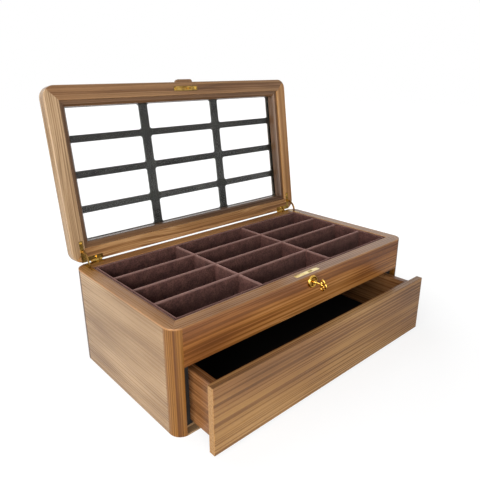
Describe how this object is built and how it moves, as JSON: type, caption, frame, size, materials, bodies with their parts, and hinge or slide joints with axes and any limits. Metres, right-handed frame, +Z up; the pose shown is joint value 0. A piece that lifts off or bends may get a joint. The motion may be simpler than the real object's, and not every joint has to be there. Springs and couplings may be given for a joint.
{
  "type": "glasses box",
  "caption": "Walnut box for glasses with a glazed hinged lid on quadrant stays, a velvet compartment tray, a lock with key and a front drawer.",
  "frame": {"origin": "under the middle of the case, on the surface that the case stands on", "axes": "+X along the case's long side to the viewer's right as seen from the front, front towards -Y, +Z up"},
  "size_m": [0.52, 0.4034, 0.4477],
  "materials": {
    "walnut_case": "satin lacquered walnut veneer, grain lengthwise",
    "walnut_post": "satin lacquered solid walnut, grain upright",
    "walnut_rim": "satin lacquered solid walnut edging, mitred",
    "walnut_lid": "satin lacquered solid walnut, grain along each rail",
    "walnut_drawer": "satin lacquered walnut",
    "velvet": "dark aubergine-brown velvet",
    "black_cloth": "black velvet and black stain",
    "plywood": "walnut-faced plywood",
    "brass": "polished lacquered brass",
    "clear_glass": "clear float glass",
    "black_mask": "satin black board with cut windows",
    "black_nylon": "moulded nylon"
  },
  "bodies": {
    "root": {"bottom_board": "walnut_case", "side_panel_left": "walnut_case", "side_panel_right": "walnut_case", "back_panel": "walnut_case", "corner_post_front_left": "walnut_post", "corner_post_front_right": "walnut_post", "corner_post_rear_left": "walnut_post", "corner_post_rear_right": "walnut_post", "front_fascia": "walnut_case", "rim_front": "walnut_rim", "rim_rear": "walnut_rim", "rim_left": "walnut_rim", "rim_right": "walnut_rim", "tray_shelf": "walnut_case", "case_lining": "velvet", "drawer_guide_left": "black_cloth", "drawer_guide_right": "black_cloth", "tray_wall_front": "velvet", "tray_wall_rear": "velvet", "tray_wall_left": "velvet", "tray_wall_right": "velvet", "tray_floor": "velvet", "long_dividers": "velvet", "cross_dividers": "velvet", "lock_body": "brass", "lock_plate": "brass", "escutcheon": "brass", "hinge_case_leaf_left": "brass", "hinge_case_leaf_right": "brass", "hinge_pins": "brass", "case_screws": "brass", "latch_housing": "black_nylon"},
    "lid": {"lid_rail_front": "walnut_lid", "lid_rail_rear": "walnut_lid", "lid_stile_left": "walnut_lid", "lid_stile_right": "walnut_lid", "bead_front": "walnut_lid", "bead_rear": "walnut_lid", "bead_left": "walnut_lid", "bead_right": "walnut_lid", "glass_pane": "clear_glass", "window_mask": "black_mask", "lift_tab": "walnut_lid", "strike_plate": "brass", "lid_screws": "brass", "hinge_lid_leaf_left": "brass", "hinge_lid_leaf_right": "brass"},
    "drawer": {"drawer_front": "walnut_drawer", "drawer_inner_front": "walnut_drawer", "drawer_side_left": "walnut_drawer", "drawer_side_right": "walnut_drawer", "drawer_back": "walnut_drawer", "drawer_bottom": "plywood", "drawer_lining": "black_cloth"},
    "stay_left": {"quadrant_stay_left": "brass"},
    "stay_right": {"quadrant_stay_right": "brass"},
    "key": {"key": "brass"},
    "lock_bolt": {"lock_bolt": "brass"},
    "latch_plunger": {"latch_plunger": "black_nylon"}
  },
  "joints": [
    {"name": "lid_hinge", "type": "hinge", "parent": "root", "child": "lid", "pos_m": [0, 0.1409, 0.1648], "axis": [-1, 0, 0], "range_deg": [-97.6, 0]},
    {"name": "stay_left_hinge", "type": "hinge", "parent": "root", "child": "stay_left", "pos_m": [-0.243, 0.1409, 0.1648], "axis": [-1, 0, 0], "range_deg": [-48.8, 0]},
    {"name": "stay_right_hinge", "type": "hinge", "parent": "root", "child": "stay_right", "pos_m": [0.243, 0.1409, 0.1648], "axis": [-1, 0, 0], "range_deg": [-48.8, 0]},
    {"name": "drawer_slide", "type": "slide", "parent": "root", "child": "drawer", "axis": [0, -1, 0], "range_m": [-0.0562, 0.109]},
    {"name": "key_turn", "type": "hinge", "parent": "root", "child": "key", "pos_m": [0, -0.14, 0.1525], "axis": [0, -1, 0], "range_deg": [0, 90]},
    {"name": "lock_bolt_slide", "type": "slide", "parent": "root", "child": "lock_bolt", "axis": [1, 0, 0], "range_m": [0, 0.004]},
    {"name": "latch_plunger_slide", "type": "slide", "parent": "root", "child": "latch_plunger", "axis": [0, 1, 0], "range_m": [0, 0.0025], "stiffness_N_per_m": 150, "springref_m": -0.003}
  ],
  "couplings": [
    {"joint": "stay_left_hinge", "follows": "lid_hinge", "ratio": 0.5},
    {"joint": "stay_right_hinge", "follows": "lid_hinge", "ratio": 0.5},
    {"joint": "lock_bolt_slide", "follows": "key_turn", "m_per_rad": 0.002546}
  ]
}
